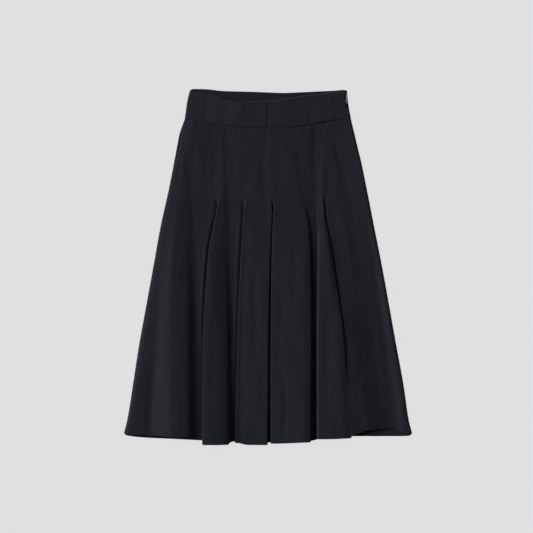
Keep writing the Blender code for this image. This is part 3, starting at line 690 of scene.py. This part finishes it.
def band_points(rows_at, sides, columns, top_edge, top_half, seam_edge, height):
    """Middle of the cloth of one half of the band, in rows from its top edge to its seam."""
    rows = []
    for share in rows_at:
        left = curve(sides[0], share)
        right = curve(sides[1], share)
        row = []
        for x in np.linspace(left, right, columns):
            across = x / max(abs(left), right)
            top = curve(top_edge, across * top_half)
            seam = curve(seam_edge, across * BAND_SEAM_HALF) - SEAM_GAP / 2
            row.append(place(x, top + (seam - top) * share, height(x, share)))
        rows.append(row)
    return rows


def tape_points():
    """The closed zip's tapes, with the rounded teeth of its coil along the middle."""
    rows = []
    for down in np.arange(TAPE[0][0], TAPE[-1][0] + 0.01, COIL_PITCH / ROWS_PER_TOOTH):
        edge = curve(TAPE_EDGE, down) if down < TAPE_EDGE[-1][0] else curve(column(SIDES, 2), down)
        left = edge - TAPE_IN - TAPE_WIDTH
        height = curve(TAPE, down) + TAPE_CLOTH / 2
        row = []
        for k in range(TAPE_STRIPS + 1):
            across = TAPE_WIDTH * k / TAPE_STRIPS
            off = (across - TAPE_WIDTH / 2) / COIL_HALF
            turns = down / COIL_PITCH + TOOTH_SHIFT * math.copysign(1, off)
            tooth = 1 - TOOTH_DIP + TOOTH_DIP * math.cos(2 * math.pi * turns)
            raised = COIL_HEIGHT * tooth * ease((COIL_EDGE - abs(off)) / COIL_SLOPE)
            row.append(place(left + across, down, height + raised))
        rows.append(row)
    return rows


def unit(vector):
    return vector / np.linalg.norm(vector)


def rim_places(rows, columns):
    """Places round the edge of a grid, in order."""
    rim = [(0, j) for j in range(columns)]
    rim += [(i, columns - 1) for i in range(1, rows)]
    rim += [(rows - 1, j) for j in range(columns - 2, -1, -1)]
    rim += [(i, 0) for i in range(rows - 2, 0, -1)]
    return rim


def rim_points(points, along, down, rim, half):
    """Points half a thickness outside a grid's edge, which make the shell's edge round."""
    rows, columns = points.shape[:2]
    made = []
    for i, j in rim:
        out = np.zeros(3)
        if i == 0:
            out -= unit(down[i, j])
        if i == rows - 1:
            out += unit(down[i, j])
        if j == 0:
            out -= unit(along[i, j])
        if j == columns - 1:
            out += unit(along[i, j])
        made.append(points[i, j] + unit(out) * half)
    return np.array(made)


def shell_faces(rows, columns, rim):
    """Faces over the upper layer, under the lower layer and round the rim."""
    size = rows * columns
    faces = []
    for i in range(rows - 1):
        for j in range(columns - 1):
            a = i * columns + j
            faces.append((a, a + columns, a + columns + 1, a + 1))
            faces.append((size + a, size + a + 1, size + a + columns + 1, size + a + columns))
    for k, (i, j) in enumerate(rim):
        after = (k + 1) % len(rim)
        a = i * columns + j
        b = rim[after][0] * columns + rim[after][1]
        faces.append((a, b, 2 * size + after, 2 * size + k))
        faces.append((2 * size + k, 2 * size + after, size + b, size + a))
    return faces


def thread_lengths(points):
    """Lengths along the cloth at each place of a grid, from its middle column and its first row."""
    rows, columns = points.shape[:2]
    steps = np.linalg.norm(np.diff(points, axis=1), axis=2)
    across = np.concatenate([np.zeros((rows, 1)), np.cumsum(steps, axis=1)], axis=1)
    across -= across[:, columns // 2][:, None]
    downs = np.linalg.norm(np.diff(points, axis=0), axis=2).mean(axis=1)
    lengths = np.repeat(np.concatenate([[0.0], np.cumsum(downs)])[:, None], columns, axis=1)
    return np.stack([across, lengths], axis=2).reshape(-1, 2)


def cloth_shell(name, points, thick, material):
    """A closed thin shell with round edges on a grid of points in metres, mapped along its threads."""
    points = np.asarray(points, float)
    rows, columns = points.shape[:2]
    along = np.gradient(points, axis=1)
    down = np.gradient(points, axis=0)
    normals = np.cross(down, along)
    normals /= np.maximum(np.linalg.norm(normals, axis=2, keepdims=True), 1e-12)
    half = thick * MM / 2
    upper = points + normals * half
    lower = points - normals * half
    rim = rim_places(rows, columns)
    edge = rim_points(points, along, down, rim, half)
    vertices = np.concatenate([upper.reshape(-1, 3), lower.reshape(-1, 3), edge])
    mesh = bpy.data.meshes.new(name)
    mesh.from_pydata(vertices.tolist(), [], shell_faces(rows, columns, rim))

    grid = thread_lengths(points)
    at_rim = np.array([grid[i * columns + j] for i, j in rim])
    where = np.concatenate([grid, grid, at_rim])
    threads = mesh.uv_layers.new(name="Threads")
    corners = np.empty(len(mesh.loops), dtype=np.int32)
    mesh.loops.foreach_get("vertex_index", corners)
    threads.uv.foreach_set("vector", where[corners].astype(np.float32).ravel())

    mesh.shade_smooth()
    shape = bmesh.new()
    shape.from_mesh(mesh)
    bmesh.ops.recalc_face_normals(shape, faces=shape.faces[:])
    shape.to_mesh(mesh)
    shape.free()
    mesh.update()
    made = bpy.data.objects.new(name, mesh)
    bpy.context.scene.collection.objects.link(made)
    made.data.materials.append(material)
    return made


def nodes_of(material):
    material.use_nodes = True
    tree = material.node_tree
    return tree.nodes, tree.links, tree.nodes["Principled BSDF"]


def maths(nodes, links, operation, first, second=None):
    node = nodes.new("ShaderNodeMath")
    node.operation = operation
    for socket, value in zip(node.inputs, (first, second)):
        if value is None:
            continue
        if isinstance(value, (int, float)):
            socket.default_value = value
        else:
            links.new(value, socket)
    return node.outputs[0]


def stretched_noise(nodes, links, source, scale, detail=2.0, roughness=0.5):
    """Noise whose size differs along and across the threads; scale is per metre."""
    mapping = nodes.new("ShaderNodeMapping")
    mapping.inputs["Scale"].default_value = (scale[0], scale[1], 1.0)
    mapping.inputs["Location"].default_value = (scale[0] * 0.31, scale[1] * 0.17, 0.0)
    links.new(source, mapping.inputs["Vector"])
    made = nodes.new("ShaderNodeTexNoise")
    made.noise_dimensions = "2D"
    made.inputs["Scale"].default_value = 1.0
    made.inputs["Detail"].default_value = detail
    made.inputs["Roughness"].default_value = roughness
    links.new(mapping.outputs["Vector"], made.inputs["Vector"])
    return made.outputs["Fac"]


def shades(nodes, links, value, places, dark, pale):
    """A colour between a dark and a pale one, which it reaches at the two places of a value."""
    ramp = nodes.new("ShaderNodeValToRGB")
    for element, at, colour in zip(ramp.color_ramp.elements, places, (dark, pale)):
        element.position = at
        element.color = (*colour, 1.0)
    links.new(value, ramp.inputs["Fac"])
    return ramp.outputs["Color"]


def spread(nodes, links, value, least, most):
    """A value from 0 to 1 spread over a range."""
    made = nodes.new("ShaderNodeMapRange")
    made.inputs["To Min"].default_value = least
    made.inputs["To Max"].default_value = most
    links.new(value, made.inputs["Value"])
    return made.outputs["Result"]


def bump(nodes, links, height, strength, distance, under=None):
    """A bumped surface; distance is the height of its bumps in metres."""
    made = nodes.new("ShaderNodeBump")
    made.inputs["Strength"].default_value = strength
    made.inputs["Distance"].default_value = distance
    links.new(height, made.inputs["Height"])
    if under is not None:
        links.new(under, made.inputs["Normal"])
    return made.outputs["Normal"]


def linen(name, colour, thread=0.62, crumple=1.0, painted_light=1.0):
    """Plain-woven linen with slubbed threads. thread is the pitch of the weave in millimetres. The
    last argument scales the colour as painted light: above 1 it paints the piece brighter, below 1 it
    paints shade.
    """
    material = bpy.data.materials.new(name)
    nodes, links, shader = nodes_of(material)

    def add(first, second):
        return maths(nodes, links, "ADD", first, second)

    def times(first, second):
        return maths(nodes, links, "MULTIPLY", first, second)

    where = nodes.new("ShaderNodeUVMap")
    where.uv_map = "Threads"
    uv = where.outputs["UV"]
    split = nodes.new("ShaderNodeSeparateXYZ")
    links.new(uv, split.inputs[0])
    moved = times(stretched_noise(nodes, links, uv, WANDER_SIZE), WANDER)
    turns = 2 * math.pi / (thread * MM)
    warp = maths(nodes, links, "SINE", times(add(split.outputs["X"], moved), turns / 2))
    weft = maths(nodes, links, "SINE", times(add(split.outputs["Y"], moved), turns / 2))
    ridges = add(maths(nodes, links, "ABSOLUTE", warp), maths(nodes, links, "ABSOLUTE", weft))
    weave = add(times(times(warp, weft), CROSSING_HEIGHT), times(ridges, THREAD_HEIGHT))

    warp_slubs = stretched_noise(nodes, links, uv, WARP_SLUB_SIZE, roughness=0.6)
    weft_slubs = stretched_noise(nodes, links, uv, WEFT_SLUB_SIZE, roughness=0.6)
    streaks = stretched_noise(nodes, links, uv, STREAK_SIZE)
    patches = stretched_noise(nodes, links, uv, PATCH_SIZE, detail=3.0, roughness=0.55)
    parts = (warp_slubs, weft_slubs, streaks, patches, weave)
    tone = times(parts[0], TONE_SHARES[0])
    for part, share in zip(parts[1:], TONE_SHARES[1:]):
        tone = add(tone, times(part, share))
    tone = times(tone, TONE_SCALE)
    # Painted light and shade: the thread colours are scaled brighter or darker for how light falls on
    # this piece.
    dark = [c * DARK_THREAD * painted_light for c in colour]
    pale = [c * PALE_THREAD * painted_light for c in colour]
    links.new(shades(nodes, links, tone, TONE_PLACES, dark, pale), shader.inputs["Base Color"])

    links.new(spread(nodes, links, warp_slubs, *LINEN_ROUGHNESS), shader.inputs["Roughness"])
    shader.inputs["Specular IOR Level"].default_value = 0.12
    shader.inputs["Sheen Weight"].default_value = 0.05
    shader.inputs["Sheen Roughness"].default_value = 0.6
    shader.inputs["Sheen Tint"].default_value = (0.55, 0.60, 0.75, 1.0)

    woven = bump(nodes, links, weave, strength=0.55, distance=0.00012)
    slubs = add(warp_slubs, weft_slubs)
    slubbed = bump(nodes, links, slubs, strength=0.5, distance=0.00018, under=woven)
    crumples = stretched_noise(nodes, links, uv, CRUMPLE_SIZE, detail=3.0, roughness=0.55)
    crumpled = bump(nodes, links, crumples, strength=0.55 * crumple, distance=0.0011, under=slubbed)
    links.new(crumpled, shader.inputs["Normal"])
    return material


def brushed(name, colour, roughness):
    """Plain die-cast metal with fine brushing."""
    material = bpy.data.materials.new(name)
    nodes, links, shader = nodes_of(material)
    where = nodes.new("ShaderNodeTexCoord")
    streaks = stretched_noise(nodes, links, where.outputs["Object"], BRUSHING_SIZE, detail=3.0)
    dark = [c * DARK_METAL for c in colour]
    pale = [min(c * PALE_METAL, 1.0) for c in colour]
    links.new(shades(nodes, links, streaks, METAL_PLACES, dark, pale), shader.inputs["Base Color"])
    worn = spread(nodes, links, streaks, roughness - LESS_ROUGH, roughness + MORE_ROUGH)
    links.new(worn, shader.inputs["Roughness"])
    shader.inputs["Metallic"].default_value = 0.9
    scratched = bump(nodes, links, streaks, strength=0.25, distance=0.00003)
    links.new(scratched, shader.inputs["Normal"])
    return material


# Lit and shaded copies of one linen: the band's outside is painted brighter, the back a little darker,
# and the band's inside, seen in the waist opening, darker as painted shade.
front_linen = linen("front linen", LINEN)
back_linen = linen("back linen", LINEN, painted_light=0.95)
band_linen = linen("band linen", LINEN, crumple=0.7, painted_light=1.10)
band_back_linen = linen("band inside linen", LINEN, crumple=0.6, painted_light=0.85)
tape_cloth = linen("zip tape", TAPE_COLOUR, thread=0.45, crumple=0.0)
slider_metal = brushed("slider metal", SLIDER_COLOUR, roughness=0.42)
tab_metal = brushed("tab metal", TAB_COLOUR, roughness=0.38)

band_front_points = band_points(
    BAND_FRONT_ROWS, BAND_FRONT_SIDES, BAND_FRONT_COLUMNS,
    FRONT_TOP, FRONT_TOP_HALF, FRONT_SEAM, band_front_height,
)
band_back_points = band_points(
    BAND_BACK_ROWS, BAND_BACK_SIDES, BAND_BACK_COLUMNS,
    BACK_TOP, BACK_TOP_HALF, BACK_SEAM, band_back_height,
)
front = cloth_shell("front_cloth", front_points(), CLOTH, front_linen)
back = cloth_shell("back_cloth", back_points(), BACK_CLOTH, back_linen)
band_front = cloth_shell("waistband_front_cloth", band_front_points, BAND_CLOTH, band_linen)
band_back = cloth_shell("waistband_back_cloth", band_back_points, BAND_CLOTH, band_back_linen)
tape = cloth_shell("zip_tape_cloth", tape_points(), TAPE_CLOTH, tape_cloth)

PIECES = (
    (front, "front_panel", "front_linen"),
    (back, "back_panel", "back_linen"),
    (band_front, "waistband_front", "band_linen"),
    (band_back, "waistband_back", "band_back_linen"),
    (tape, "zip_tape", "zip_tape"),
)
for piece, node, slot in PIECES:
    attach(piece, "skirt")
    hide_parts(node)

for node, material in (("zip_slider", slider_metal), ("zip_pull_tab", tab_metal)):
    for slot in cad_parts[node].material_slots:
        slot.link = "OBJECT"
        slot.material = material


# The floor, the lights, the surroundings and the camera. Lengths from here on are in metres.
scene = bpy.context.scene
bpy.ops.mesh.primitive_plane_add(size=FLOOR_SIZE, location=(0.0, 0.0, FLOOR_LEVEL))
floor = bpy.context.object
floor.name = "floor"
floor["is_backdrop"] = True
paper = bpy.data.materials.new("floor paper")
paper_shader = nodes_of(paper)[2]
paper_shader.inputs["Base Color"].default_value = (0.80, 0.80, 0.80, 1.0)
paper_shader.inputs["Roughness"].default_value = 1.0
paper_shader.inputs["Specular IOR Level"].default_value = 0.0
floor.data.materials.append(paper)


def sun(name, side, height, angle, strength):
    data = bpy.data.lights.new(name, "SUN")
    data.energy = strength
    data.angle = math.radians(angle)
    lamp = bpy.data.objects.new(name, data)
    scene.collection.objects.link(lamp)
    round_by = math.radians(side)
    up_by = math.radians(height)
    level = math.cos(up_by)
    direction = (math.cos(round_by) * level, math.sin(round_by) * level, math.sin(up_by))
    lamp.rotation_euler = Vector(direction).to_track_quat("Z", "Y").to_euler()
    return lamp


cloth_key = sun("key on the skirt", *KEY)
cloth_fill = sun("fill on the skirt", *FILL)
floor_key = sun("key on the floor", *FLOOR_KEY)
skirt_group = bpy.data.collections.new("skirt")
floor_group = bpy.data.collections.new("ground")
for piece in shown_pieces():
    skirt_group.objects.link(piece)
floor_group.objects.link(floor)
for lamp, group in ((cloth_key, skirt_group), (cloth_fill, skirt_group), (floor_key, floor_group)):
    lamp.light_linking.receiver_collection = group
    lamp.light_linking.blocker_collection = group

world = bpy.data.worlds.new("studio")
scene.world = world
world.use_nodes = True
nodes = world.node_tree.nodes
links = world.node_tree.links
around = nodes["Background"]
around.inputs["Color"].default_value = (1.0, 1.0, 1.0, 1.0)
around.inputs["Strength"].default_value = AMBIENT
wall = nodes.new("ShaderNodeBackground")  # what the camera sees past the floor
wall.inputs["Color"].default_value = (0.752, 0.752, 0.752, 1.0)
rays = nodes.new("ShaderNodeLightPath")
seen = nodes.new("ShaderNodeMixShader")
links.new(rays.outputs["Is Camera Ray"], seen.inputs["Fac"])
links.new(around.outputs["Background"], seen.inputs[1])
links.new(wall.outputs["Background"], seen.inputs[2])
links.new(seen.outputs["Shader"], nodes["World Output"].inputs["Surface"])

camera_data = bpy.data.cameras.new("camera")
camera_data.lens = LENS
camera_data.sensor_width = SENSOR_WIDTH
camera = bpy.data.objects.new("camera", camera_data)
scene.collection.objects.link(camera)
camera.location = (*CAMERA_OVER, VIEW_WIDTH * LENS / SENSOR_WIDTH + CLOTH_LEVEL)
scene.camera = camera
scene.view_settings.view_transform = "Standard"
scene.view_settings.look = "None"
